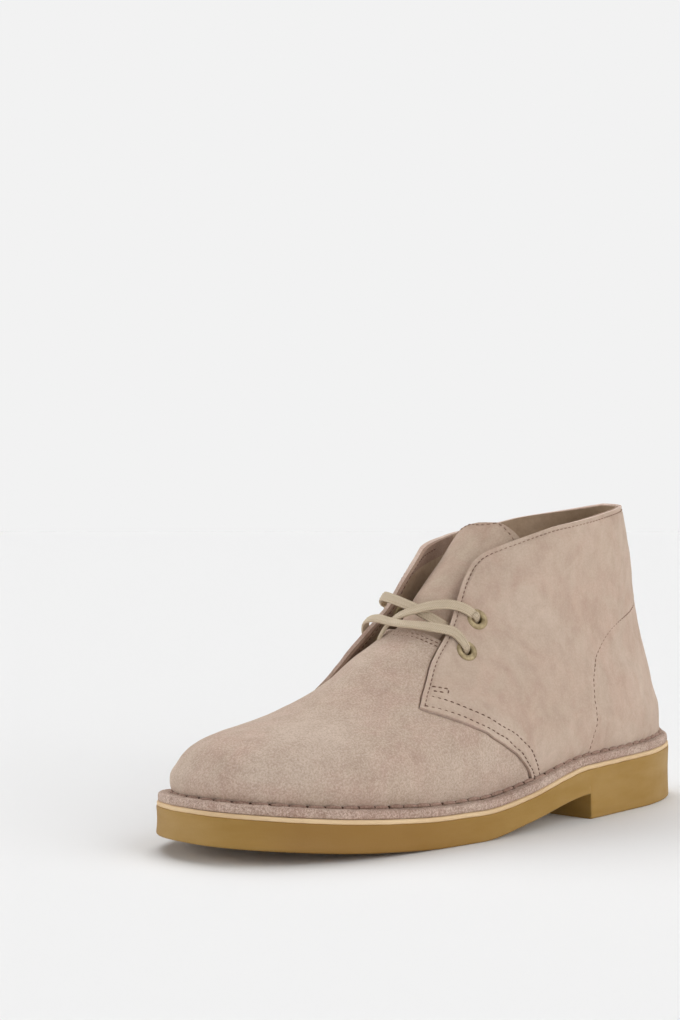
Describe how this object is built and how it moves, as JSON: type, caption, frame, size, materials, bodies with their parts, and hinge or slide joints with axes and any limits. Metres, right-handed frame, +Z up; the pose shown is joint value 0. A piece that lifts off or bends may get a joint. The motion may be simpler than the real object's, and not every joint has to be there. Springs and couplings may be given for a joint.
{
  "type": "chukka boot",
  "caption": "Ankle-high suede chukka boot for the left foot, open collar, tongue under two laced quarters, turned-out edge on a cream midsole and a moulded rubber sole with heel.",
  "frame": {"origin": "on the floor under the centre of the bounding box", "axes": "+X towards the toe, +Y towards the outer side of the left foot, +Z up"},
  "size_m": [0.3, 0.1018, 0.1419],
  "materials": {
    "gum_rubber": "matt ochre rubber",
    "cream_rubber": "matt cream rubber",
    "lining": "dark olive brown lining leather",
    "suede": "greige suede with a soft nap",
    "brass": "antique brass",
    "cotton": "flat woven cotton lace"
  },
  "bodies": {
    "root": {"outsole": "gum_rubber", "midsole": "cream_rubber", "insole": "lining", "upper": "suede", "tongue": "suede", "eyelet_outer_lower": "brass", "eyelet_outer_upper": "brass", "eyelet_inner_lower": "brass", "eyelet_inner_upper": "brass", "lace": "cotton"}
  },
  "joints": []
}
